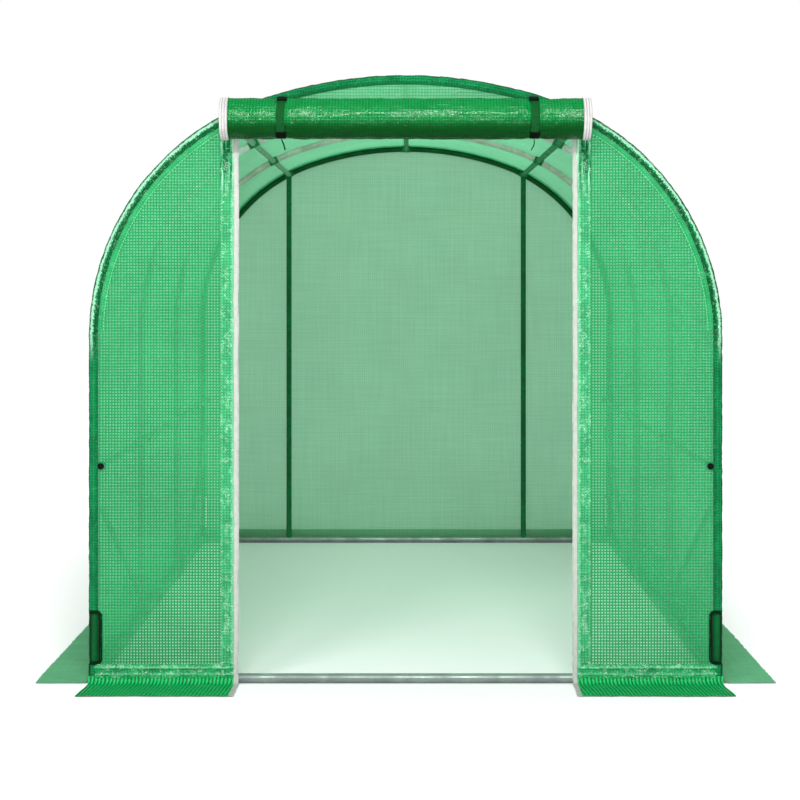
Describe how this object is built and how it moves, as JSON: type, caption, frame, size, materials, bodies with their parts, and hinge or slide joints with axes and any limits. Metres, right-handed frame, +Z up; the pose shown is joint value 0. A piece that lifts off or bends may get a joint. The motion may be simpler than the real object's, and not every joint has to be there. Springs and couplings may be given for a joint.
{
  "type": "polytunnel greenhouse",
  "caption": "Walk-in polytunnel: bent tube hoops under a green reinforced sheet with ground skirts and a rolled-up door in the front end.",
  "frame": {"origin": "on the ground under the middle of the tunnel", "axes": "+X to the right seen from the front, +Y from the front end to the back end, +Z up"},
  "size_m": [2.34, 3.34, 1.9204],
  "materials": {
    "green_coated_tube": "green plastic-coated steel tube, satin",
    "galvanised_tube": "galvanised steel tube, dull with bright streaks",
    "cover_sheet": "reinforced polythene film with a woven green grid, see-through",
    "sleeve_sheet": "the same film in several layers, glossy and wrinkled",
    "white_zip_tape": "white zip tape",
    "webbing": "dark green webbing",
    "black_plastic": "black moulded plastic"
  },
  "bodies": {
    "root": {"front_hoop_left_side": "green_coated_tube", "front_hoop_crown": "green_coated_tube", "front_hoop_right_side": "green_coated_tube", "second_hoop_left_side": "galvanised_tube", "second_hoop_crown": "galvanised_tube", "second_hoop_right_side": "galvanised_tube", "third_hoop_left_side": "galvanised_tube", "third_hoop_crown": "galvanised_tube", "third_hoop_right_side": "galvanised_tube", "back_hoop_left_side": "green_coated_tube", "back_hoop_crown": "green_coated_tube", "back_hoop_right_side": "green_coated_tube", "ridge_purlin": "green_coated_tube", "left_shoulder_purlin": "green_coated_tube", "right_shoulder_purlin": "green_coated_tube", "left_side_rail": "galvanised_tube", "right_side_rail": "galvanised_tube", "left_base_rail": "galvanised_tube", "right_base_rail": "galvanised_tube", "front_base_bar": "galvanised_tube", "back_base_bar": "galvanised_tube", "front_posts": "galvanised_tube", "back_posts": "galvanised_tube", "left_braces": "galvanised_tube", "right_braces": "galvanised_tube", "purlin_fittings": "green_coated_tube", "rail_clips": "black_plastic", "left_wall_cover": "cover_sheet", "left_shoulder_cover": "cover_sheet", "crown_cover": "cover_sheet", "right_shoulder_cover": "cover_sheet", "right_wall_cover": "cover_sheet", "front_left_panel": "cover_sheet", "front_right_panel": "cover_sheet", "front_top_panel": "cover_sheet", "back_panel": "cover_sheet", "front_corner_sleeve": "sleeve_sheet", "back_corner_sleeve": "sleeve_sheet", "left_skirt": "cover_sheet", "right_skirt": "cover_sheet", "front_skirts": "cover_sheet", "back_skirt": "cover_sheet", "door_zips": "white_zip_tape", "door_roll": "sleeve_sheet", "roll_end_tapes": "white_zip_tape", "roll_straps": "webbing", "rail_caps": "black_plastic"}
  },
  "joints": []
}
